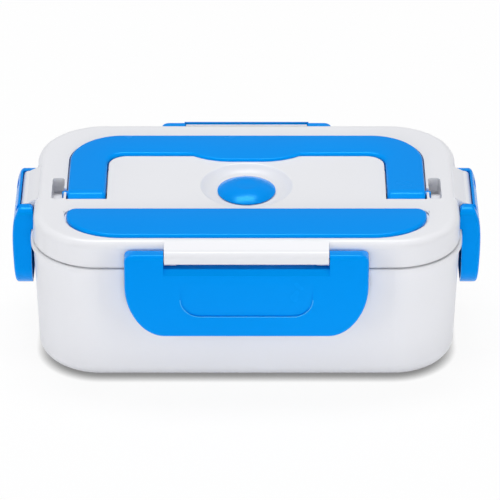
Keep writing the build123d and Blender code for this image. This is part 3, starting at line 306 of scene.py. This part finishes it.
def between_rings(rings, around):
    """Quads between neighbouring closed rings of equally many points, as rows of vertex numbers."""
    ring, spot = np.meshgrid(np.arange(rings - 1), np.arange(around), indexing="ij")
    here = ring * around + spot
    beside = ring * around + (spot + 1) % around
    return np.stack((here, beside, beside + around, here + around), axis=-1).reshape(-1, 4).tolist()


def ring_solid(rings):
    """Closed solid from an array of rings: a skin of quads and a flat cap on the first and last ring."""
    count, around = rings.shape[:2]
    faces = between_rings(count, around)
    faces.append(list(range(around)))
    faces.append(list(range((count - 1) * around, count * around)))
    return rings.reshape(-1, 3), faces


def joined(solids):
    """Several solids as one list of points and faces."""
    points, faces, first = [], [], 0
    for spots, skin in solids:
        points.append(spots)
        faces += [[first + corner for corner in face] for face in skin]
        first += len(spots)
    return np.concatenate(points), faces


def added_piece(name, solid, finish, body, replaced=None, crease=32.0):
    """Object made from a solid in millimetres: faces outward, soft up to the crease angle, riding on a body."""
    points, faces = solid
    mesh = bpy.data.meshes.new(name)
    mesh.from_pydata(points / 1000.0, [], faces)
    work = bmesh.new()
    work.from_mesh(mesh)
    bmesh.ops.remove_doubles(work, verts=work.verts, dist=1e-7)
    bmesh.ops.recalc_face_normals(work, faces=work.faces)
    work.to_mesh(mesh)
    work.free()
    mesh.polygons.foreach_set("use_smooth", np.ones(len(mesh.polygons), bool))
    mesh.set_sharp_from_angle(angle=math.radians(crease))
    mesh.materials.append(finish)
    piece = bpy.data.objects.new(name, mesh)
    bpy.context.scene.collection.objects.link(piece)
    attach(piece, body)
    if replaced:
        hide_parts(replaced)


def quarter(radius):
    """Quarter circle of a rounded edge: distances in from the side face and down from the top face."""
    turn = np.linspace(0, math.pi / 2, ROUND_STEPS + 1)
    return radius * (1 - np.cos(turn)), radius * (1 - np.sin(turn))


def rod(y, z, radius, x_from, x_to):
    """Round bar along X with eased ends: circles of the bar's radius, and smaller ones at both ends."""
    turn = np.linspace(0, FULL_TURN, ROD_POINTS, endpoint=False)
    stops = np.array([x_from, x_from + ROD_EASE, x_to - ROD_EASE, x_to])
    sizes = np.array([radius - ROD_EASE, radius, radius, radius - ROD_EASE])
    rings = np.empty((len(stops), ROD_POINTS, 3))
    rings[..., 0] = stops[:, None]
    rings[..., 1] = y + sizes[:, None] * np.cos(turn)
    rings[..., 2] = z + sizes[:, None] * np.sin(turn)
    return ring_solid(rings)


def tube(path, radius, closed, around=12):
    """Thin bead: a circle of one radius carried along a path, square to its direction at each point."""
    if closed:
        ahead = np.roll(path, -1, axis=0) - np.roll(path, 1, axis=0)
    else:
        ahead = np.gradient(path, axis=0)
    ahead /= np.linalg.norm(ahead, axis=1, keepdims=True)
    side = np.cross(ahead, (0.0, 0.0, 1.0))
    side /= np.linalg.norm(side, axis=1, keepdims=True)
    lift = np.cross(side, ahead)
    turn = np.linspace(0, FULL_TURN, around, endpoint=False)[None, :, None]
    rings = path[:, None] + radius * (np.cos(turn) * side[:, None] + np.sin(turn) * lift[:, None])
    if not closed:
        return ring_solid(rings)
    rings = np.concatenate((rings, rings[:1]))
    return rings.reshape(-1, 3), between_rings(len(rings), around)


def at_height(plan, height):
    """Points of a plan outline, all at one height."""
    return np.column_stack((plan, np.full(len(plan), height)))


def rounded_loop(length, width, corner, height, centre=(0.0, 0.0), steps=16):
    """Closed path round a rectangle with round corners: four quarter circles, joined by its straight sides."""
    turn = np.linspace(0, math.pi / 2, steps)
    loops = []
    for start, (right, back) in enumerate(((1, 1), (-1, 1), (-1, -1), (1, -1))):
        angle = turn + start * math.pi / 2
        loops.append(np.column_stack((centre[0] + right * (length / 2 - corner) + corner * np.cos(angle),
                                      centre[1] + back * (width / 2 - corner) + corner * np.sin(angle))))
    return at_height(np.concatenate(loops), height)


# ---------------------------------------------------------------- folding handle
HANDLE_OUTER_X, HANDLE_INNER_X = 90.0, 70.9
HANDLE_REAR_Y, HANDLE_GRIP_Y, HANDLE_BULGE_Y, HANDLE_END_Y = 47.6, 27.4, 21.0, -17.8
OUTER_CORNER, INNER_CORNER = 26.0, 9.0
BULGE_FLAT_X, BULGE_END_X = 8.0, 27.7
HANDLE_BOTTOM = COVER_TOP - 6.4
OUTER_ROUND, INNER_ROUND, BULGE_ROUND = 1.2, 2.2, 1.2
TOE_BEVEL, TOE_DROP, TOE_ROUND = 3.6, 2.2, 2.0
LIP_BOTTOM, LIP_SLOPE = LID_TOP + 0.12, 0.3
CHANNEL_GRIP_Y, CHANNEL_BULGE_Y, CHANNEL_GAP = 27.0, 21.3, 0.3
PIVOT_Y, PIVOT_Z, STUB_RADIUS, STUB_END_X, STUB_SINK = -9.0, 77.6, 2.2, 93.0, 1.0
TOE_STATIONS = (TOE_BEVEL, 2.8, 2.0, 1.5, 1.0, 0.6, 0.3, 0.1, 0.0)  # from the toe's end, closer towards it
GRIP_POINTS, STRAIGHT_POINTS, CORNER_POINTS = 30, 9, 24


def bulge_line(x):
    """Inner edge of the grip: flat in the middle, then one circle arc up to the straight edge."""
    rise = HANDLE_GRIP_Y - HANDLE_BULGE_Y
    radius = ((BULGE_END_X - BULGE_FLAT_X) ** 2 + rise**2) / (2 * rise)
    along = np.clip(x - BULGE_FLAT_X, 0, None)
    return HANDLE_BULGE_Y + radius - np.sqrt(radius**2 - along**2)


def channel_line(x):
    """Edge of the lid's channel along the bulge: two equal circle arcs, one after the other."""
    half_run, half_rise = (BULGE_END_X - BULGE_FLAT_X) / 2, (CHANNEL_GRIP_Y - CHANNEL_BULGE_Y) / 2
    radius = (half_run**2 + half_rise**2) / (2 * half_rise)
    lower = CHANNEL_BULGE_Y + radius - np.sqrt(radius**2 - np.clip(x - BULGE_FLAT_X, 0, half_run) ** 2)
    upper = CHANNEL_GRIP_Y - radius + np.sqrt(radius**2 - np.clip(BULGE_END_X - x, 0, half_run) ** 2)
    return np.where(x < BULGE_FLAT_X + half_run, lower, upper)


def carry_bail():
    """Bail of the lid.

    Pairs of points run along its outer and inner edge: straight across the grip, round the
    corner by equal angles and down the leg. Across each pair lies one section with a
    quarter circle on both top edges; its top falls and its bottom rises at the toe. Along
    the finger bulge the inner edge is a lip over the lid, above the edge of the channel.
    """
    grip = np.linspace(0, BULGE_END_X, GRIP_POINTS)
    share = np.linspace(0, 1, STRAIGHT_POINTS + 1)[1:]
    turn = np.linspace(math.pi / 2, 0, CORNER_POINTS + 1)[1:]
    toe = HANDLE_END_Y + np.array(TOE_STATIONS)
    toe_points = len(toe) - 1
    outer_x, outer_y = HANDLE_OUTER_X - OUTER_CORNER, HANDLE_REAR_Y - OUTER_CORNER
    inner_x, inner_y = HANDLE_INNER_X - INNER_CORNER, HANDLE_GRIP_Y - INNER_CORNER
    outer = np.concatenate((
        np.column_stack((grip, np.full(GRIP_POINTS, HANDLE_REAR_Y))),
        np.column_stack((BULGE_END_X + share * (outer_x - BULGE_END_X),
                         np.full(STRAIGHT_POINTS, HANDLE_REAR_Y))),
        np.column_stack((outer_x + OUTER_CORNER * np.cos(turn), outer_y + OUTER_CORNER * np.sin(turn))),
        np.column_stack((np.full(STRAIGHT_POINTS, HANDLE_OUTER_X), outer_y + share * (toe[0] - outer_y))),
        np.column_stack((np.full(toe_points, HANDLE_OUTER_X), toe[1:]))))
    inner = np.concatenate((
        np.column_stack((grip, bulge_line(grip))),
        np.column_stack((BULGE_END_X + share * (inner_x - BULGE_END_X),
                         np.full(STRAIGHT_POINTS, HANDLE_GRIP_Y))),
        np.column_stack((inner_x + INNER_CORNER * np.cos(turn), inner_y + INNER_CORNER * np.sin(turn))),
        np.column_stack((np.full(STRAIGHT_POINTS, HANDLE_INNER_X), inner_y + share * (toe[0] - inner_y))),
        np.column_stack((np.full(toe_points, HANDLE_INNER_X), toe[1:]))))
    stations = len(outer)
    past_bulge = np.clip((inner[:, 0] - BULGE_END_X) / (inner_x - BULGE_END_X), 0, 1)
    inner_radius = BULGE_ROUND + (INNER_ROUND - BULGE_ROUND) * past_bulge
    step = np.where(np.arange(stations) < GRIP_POINTS,
                    np.clip(channel_line(inner[:, 0]) + CHANNEL_GAP - inner[:, 1], 0, None), 0.0)
    into_toe = np.clip(HANDLE_END_Y + TOE_BEVEL - outer[:, 1], 0, TOE_BEVEL)
    top = COVER_TOP - TOE_DROP * into_toe / TOE_BEVEL
    into_round = np.clip(HANDLE_END_Y + TOE_ROUND - outer[:, 1], 0, TOE_ROUND)
    bottom = HANDLE_BOTTOM + TOE_ROUND - np.sqrt(TOE_ROUND**2 - into_round**2)
    across = inner - outer
    across /= np.linalg.norm(across, axis=1, keepdims=True)

    unit_in, unit_down = quarter(1.0)
    lip = np.minimum(LIP_BOTTOM, top - inner_radius - 0.1)
    none = np.zeros(stations)
    from_outer = np.column_stack((none, OUTER_ROUND * unit_in[None, :].repeat(stations, 0)))
    height_outer = np.column_stack((bottom, top[:, None] - OUTER_ROUND * unit_down))
    from_inner = np.column_stack((inner_radius[:, None] * unit_in[::-1], none, step, step))
    height_inner = np.column_stack((top[:, None] - inner_radius[:, None] * unit_down[::-1], lip, lip - LIP_SLOPE,
                                    bottom))
    plan_outer = outer[:, None] + across[:, None] * from_outer[..., None]
    plan_inner = inner[:, None] - across[:, None] * from_inner[..., None]
    plan = np.concatenate((plan_outer, plan_inner), axis=1)
    height = np.column_stack((height_outer, height_inner))
    half = np.concatenate((plan, height[..., None]), axis=2)
    other = half[:0:-1] * (-1.0, 1.0, 1.0)
    bar = ring_solid(np.concatenate((other, half)))
    stub_root = HANDLE_OUTER_X - STUB_SINK
    return joined([bar, rod(PIVOT_Y, PIVOT_Z, STUB_RADIUS, -STUB_END_X, -stub_root),
                   rod(PIVOT_Y, PIVOT_Z, STUB_RADIUS, stub_root, STUB_END_X)])


added_piece("carry_bail", carry_bail(), blue_plastic, "carry_handle", "handle")

# ---------------------------------------------------------------- spoon cover
COVER_END_X, COVER_REAR_Y, COVER_FRONT_Y = 89.9, -29.3, -57.5
COVER_REAR_CORNER, COVER_ROUND, COVER_THICKNESS, COVER_EASE = 5.2, 1.6, 2.5, 0.25
CURVE_X, CURVE_Y = 61.5, -36.0
BARREL_Y, BARREL_Z, BARREL_RADIUS, BARREL_END_X = -31.1, 80.2, 1.75, 84.5
RECESS_END_X, RECESS_REAR_Y, CORNER_BOTTOM, CORNER_SINK = 91.1, -29.0, 79.0, 0.01


def cover_outline(inset):
    """D-shaped outline from the rear middle round both ends, moved inward by the inset."""
    turn = np.linspace(math.pi / 2, 0, 14)
    bend = np.linspace(0, -math.pi / 2, 40)
    corner = COVER_REAR_CORNER - inset
    rear = np.column_stack((COVER_END_X - COVER_REAR_CORNER + corner * np.cos(turn),
                            COVER_REAR_Y - COVER_REAR_CORNER + corner * np.sin(turn)))
    front = np.column_stack((CURVE_X + (COVER_END_X - CURVE_X - inset) * np.cos(bend),
                             CURVE_Y + (CURVE_Y - COVER_FRONT_Y - inset) * np.sin(bend)))
    half = np.concatenate((rear, front))
    return np.concatenate((half, half[::-1] * (-1.0, 1.0)))


def flap():
    """Cover plate: its outline, moved inward and up along a quarter circle at the top edge, and its barrel."""
    inward, down = quarter(COVER_ROUND)
    bottom = COVER_TOP - COVER_THICKNESS
    levels = [(COVER_EASE, bottom), (0.0, bottom + COVER_EASE)]
    levels += [(in_by, COVER_TOP - down_by) for in_by, down_by in zip(inward, down)]
    rings = np.stack([at_height(cover_outline(inset), height) for inset, height in levels])
    return joined([ring_solid(rings), rod(BARREL_Y, BARREL_Z, BARREL_RADIUS, -BARREL_END_X, BARREL_END_X)])


def recess_corners():
    """Fills of the recess's rear corners: the corner of a square less a quarter circle, as an upright prism."""
    turn = np.linspace(0, math.pi / 2, 16)
    solids = []
    for side in (-1, 1):
        plan = np.column_stack((side * (RECESS_END_X - COVER_REAR_CORNER + COVER_REAR_CORNER * np.cos(turn)),
                                RECESS_REAR_Y - COVER_REAR_CORNER + COVER_REAR_CORNER * np.sin(turn)))
        plan = np.concatenate((plan, [(side * RECESS_END_X, RECESS_REAR_Y)]))
        rings = np.stack([at_height(plan, height) for height in (CORNER_BOTTOM, LID_TOP - CORNER_SINK)])
        solids.append(ring_solid(rings))
    return joined(solids)


added_piece("spoon_flap_plate", flap(), blue_plastic, "spoon_flap", "spoon_cover")
added_piece("spoon_recess_corners", recess_corners(), white_plastic, "lid")

# ---------------------------------------------------------------- steam plug
PLUG_Y, PLUG_BOTTOM, PLUG_RADIUS, PLUG_RIM, PLUG_RISE = -3.6, 77.0, 14.7, 0.7, 3.5
DIMPLE_RADIUS, DIMPLE_DEPTH = 5.2, 0.4
PLUG_EASE, DOME_POWER, PLUG_POINTS, AXIS_HOLE = 0.3, 2.5, 96, 0.1
STEM_RADIUS, BARB_RADIUS, BARB_TOP, BARB_HEIGHT = 4.0, 5.0, 63.0, 1.6


def plug():
    """Plug turned about its axis: a dome that falls with a power of its radius, a dimple on top and a barbed stem."""
    inside = np.linspace(0.02, 1, 10) * DIMPLE_RADIUS
    outside = DIMPLE_RADIUS + (PLUG_RADIUS - DIMPLE_RADIUS) * np.sin(np.linspace(0, math.pi / 2, 20))[1:]
    radius = np.concatenate((inside, outside))
    dome = PLUG_BOTTOM + PLUG_RIM + PLUG_RISE * (1 - (radius / PLUG_RADIUS) ** DOME_POWER)
    dome -= DIMPLE_DEPTH * np.clip(1 - (radius / DIMPLE_RADIUS) ** 2, 0, 1)
    barb_bottom = BARB_TOP - BARB_HEIGHT
    under = np.array([(PLUG_RADIUS, PLUG_BOTTOM + PLUG_EASE), (PLUG_RADIUS - PLUG_EASE, PLUG_BOTTOM),
                      (STEM_RADIUS, PLUG_BOTTOM), (STEM_RADIUS, BARB_TOP), (BARB_RADIUS, BARB_TOP),
                      (STEM_RADIUS, barb_bottom), (AXIS_HOLE, barb_bottom)])
    profile = np.concatenate((np.column_stack((radius, dome)), under))
    turn = np.linspace(0, FULL_TURN, PLUG_POINTS, endpoint=False)
    rings = np.empty((len(profile), PLUG_POINTS, 3))
    rings[..., 0] = profile[:, :1] * np.cos(turn)
    rings[..., 1] = PLUG_Y + profile[:, :1] * np.sin(turn)
    rings[..., 2] = profile[:, 1:]
    return ring_solid(rings)


added_piece("steam_plug", plug(), blue_plastic, "vent", "vent_plug", crease=28.0)


# ---------------------------------------------------------------- clips, and the lid's bosses between their ears
WALL_X, WALL_FRONT_Y = 107.0, 63.0
SIDES = {"front": (0, -1, 0), "rear": (0, 1, 0), "left": (-1, 0, 0), "right": (1, 0, 0)}
# heights in the CAD, and the heights that they go to
BOSS_HEIGHTS = (70.5, 72.6, 77.0, 80.5)
BOSS_FITTED = (70.5, 72.0, 75.2, 77.4)
FRONT_BOSS_FITTED = (70.5, 72.0, 75.6, 78.8)
BOSS_REACH, BOSS_FITTED_REACH = 7.7, 6.6
WALL_MARGIN = 0.2  # past the lid's wall, where a boss starts
LONG_CLIP, SIDE_CLIP = (31.5, 43.0, 69.6, 77.0, 80.9), (25.5, 61.0, 69.6, 77.0, 80.9)
SIDE_CLIP_FITTED = (30.2, 58.0, 69.6, 75.2, 77.8)
CLIP_HEIGHTS = {"front": LONG_CLIP, "rear": LONG_CLIP, "left": SIDE_CLIP, "right": SIDE_CLIP}
CLIP_FITTED = {"front": (30.7, 43.0, 69.6, 75.2, 77.8), "rear": (31.5, 43.0, 69.6, 75.2, 77.8),
               "left": SIDE_CLIP_FITTED, "right": SIDE_CLIP_FITTED}


def face_directions(triangles):
    """Unit normal of each triangle: the cross product of two of its edges, scaled to length one."""
    across = np.cross(triangles[:, 1] - triangles[:, 0], triangles[:, 2] - triangles[:, 0])
    return across / np.maximum(np.linalg.norm(across, axis=1, keepdims=True), 1e-12)


def refitted_copy(name, node, body, finish, moved):
    """Copy of a CAD node's mesh, merged, with its points (millimetres) moved by a function; replaces the node.

    Equal points become one. Each corner keeps the CAD surface's normal, turned by as much
    as its triangle turned, so that the rounded edges stay soft and the flat faces flat.
    """
    source = nodes[node].data
    spots = np.empty(3 * len(source.vertices))
    source.vertices.foreach_get("co", spots)
    corners = np.empty(len(source.loops), int)
    source.loops.foreach_get("vertex_index", corners)
    normals = np.empty(3 * len(source.loops))
    source.corner_normals.foreach_get("vector", normals)
    spots = spots.reshape(-1, 3) * 1000.0
    _, first, place = np.unique(np.round(spots, 3), axis=0, return_index=True, return_inverse=True)
    spots, corners = spots[first], place.reshape(-1)[corners].reshape(-1, 3)
    whole = (corners != np.roll(corners, 1, axis=1)).all(axis=1)
    corners, normals = corners[whole], normals.reshape(-1, 3, 3)[whole]
    before = face_directions(spots[corners])
    spots = moved(spots)
    normals = normals + (face_directions(spots[corners]) - before)[:, None]
    normals /= np.maximum(np.linalg.norm(normals, axis=2, keepdims=True), 1e-12)
    mesh = bpy.data.meshes.new(name)
    mesh.from_pydata(spots / 1000.0, [], corners.tolist())
    mesh.polygons.foreach_set("use_smooth", np.ones(len(mesh.polygons), bool))
    mesh.normals_split_custom_set(normals.reshape(-1, 3))
    mesh.materials.append(finish)
    piece = bpy.data.objects.new(name, mesh)
    bpy.context.scene.collection.objects.link(piece)
    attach(piece, body)
    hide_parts(node)


def lowered_bosses(spots):
    """Outside the lid's wall, heights follow the fitted list; behind a clip's bar the boss reaches out less."""
    for side, outward in SIDES.items():
        outward = np.array(outward, float)
        wall = WALL_FRONT_Y if outward[1] else WALL_X
        reach = spots @ outward - wall
        boss = (reach > WALL_MARGIN) & (spots[:, 2] > BOSS_HEIGHTS[0])
        fitted = FRONT_BOSS_FITTED if side == "front" else BOSS_FITTED
        spots[boss, 2] = np.interp(spots[boss, 2], BOSS_HEIGHTS, fitted)
        if side != "front":
            spots[boss] -= (reach[boss] * (1 - BOSS_FITTED_REACH / BOSS_REACH))[:, None] * outward
    return spots


def lowered_ears(side):
    """Move for a clip: heights go from the side's first list to its second, in proportion between them."""
    def moved(spots):
        spots[:, 2] = np.interp(spots[:, 2], CLIP_HEIGHTS[side], CLIP_FITTED[side])
        return spots
    return moved


refitted_copy("lid_top_shell", "lid_shell", "lid", white_plastic, lowered_bosses)
for side in SIDES:
    refitted_copy(f"{side}_flip_clip", f"{side}_clip", f"{side}_latch", blue_plastic, lowered_ears(side))

BAR_INNER, BAR_FOOT, BAR_SHOULDER, BAR_CROWN = 6.95, 69.0, 75.2, 77.6
REAR_BAR, SIDE_BAR = (32.4, 8.2, 8.1), (18.0, 9.8, 8.8)  # half length, reach at the foot and at the shoulder


def clip_bar(outward, half_length, low_reach, high_reach):
    """Bar between a clip's ears: a section with a quarter ellipse on its top, carried along the side."""
    turn = np.linspace(0, math.pi / 2, 10)
    section = np.concatenate((
        [(BAR_INNER, BAR_FOOT), (low_reach, BAR_FOOT)],
        np.column_stack((BAR_INNER + (high_reach - BAR_INNER) * np.cos(turn),
                         BAR_SHOULDER + (BAR_CROWN - BAR_SHOULDER) * np.sin(turn)))))
    outward = np.array(outward, float)
    along = np.array((-outward[1], outward[0], 0.0))
    wall = WALL_FRONT_Y if outward[1] else WALL_X
    plane = (wall + section[:, :1]) * outward + section[:, 1:] * np.array((0.0, 0.0, 1.0))
    return ring_solid(np.stack((plane - half_length * along, plane + half_length * along)))


added_piece("rear_clip_bar", clip_bar(SIDES["rear"], *REAR_BAR), blue_plastic, "rear_latch")
added_piece("left_clip_bar", clip_bar(SIDES["left"], *SIDE_BAR), blue_plastic, "left_latch")
added_piece("right_clip_bar", clip_bar(SIDES["right"], *SIDE_BAR), blue_plastic, "right_latch")

# ---------------------------------------------------------------- fine trim
FACE_BOW, FACE_BOW_HEIGHT, FACE_TOE, FACE_BOTTOM, WALL_Y = 8.3, 64.0, 6.9, 31.5, -63.0
THUMB_HALF, THUMB_BOTTOM, THUMB_TOP, THUMB_CORNER, BEAD_RADIUS, BEAD_SINK = 32.9, 42.8, 52.0, 10.0, 0.24, 0.1
THUMB_SIDE_POINTS = 11
# closed beads: length, width, corner and height of the path
TRAY_RIM, TRAY_RIM_RADIUS = (200.0, 112.0, 26.6, 64.6), 0.45
DISH_RIDGE, DISH_RIDGE_RADIUS, DISH_CENTRE = (61.0, 83.0, 11.5, 60.25), 0.7, (57.0, 0.0)
PANEL_RIDGE, PANEL_RIDGE_RADIUS = (166.0, 78.0, 14.0, 65.2), 0.6


def thumb_path():
    """Path of a U round the thumb panel: down one side, a quarter circle, and the same mirrored."""
    turn = np.linspace(math.pi, 1.5 * math.pi, 16)
    side = np.linspace(THUMB_TOP, THUMB_BOTTOM + THUMB_CORNER, THUMB_SIDE_POINTS + 1)[:-1]
    corner_x = -THUMB_HALF + THUMB_CORNER + THUMB_CORNER * np.cos(turn)
    corner_z = THUMB_BOTTOM + THUMB_CORNER + THUMB_CORNER * np.sin(turn)
    x = np.concatenate((np.full(THUMB_SIDE_POINTS, -THUMB_HALF), corner_x))
    z = np.concatenate((side, corner_z))
    x, z = np.concatenate((x, -x[::-1])), np.concatenate((z, z[::-1]))
    radius = ((FACE_BOW - FACE_TOE) ** 2 + (FACE_BOW_HEIGHT - FACE_BOTTOM) ** 2) / (2 * (FACE_BOW - FACE_TOE))
    away = FACE_BOW - radius + np.sqrt(radius**2 - (FACE_BOW_HEIGHT - z) ** 2)
    return np.column_stack((x, WALL_Y - away + BEAD_SINK, z))


# the bead's lighter blue is a painted highlight line round the thumb panel
added_piece("thumb_bead", tube(thumb_path(), BEAD_RADIUS, False), painted_highlight_blue, "front_latch")
added_piece("tray_rolled_rim", tube(rounded_loop(*TRAY_RIM), TRAY_RIM_RADIUS, True), brushed_steel, "tray")
added_piece("dish_lid_ridge", tube(rounded_loop(*DISH_RIDGE, centre=DISH_CENTRE), DISH_RIDGE_RADIUS, True),
            dish_lid_plastic, "side_dish_cover")
added_piece("inner_panel_ridge", tube(rounded_loop(*PANEL_RIDGE), PANEL_RIDGE_RADIUS, True), panel_plastic,
            "lid")
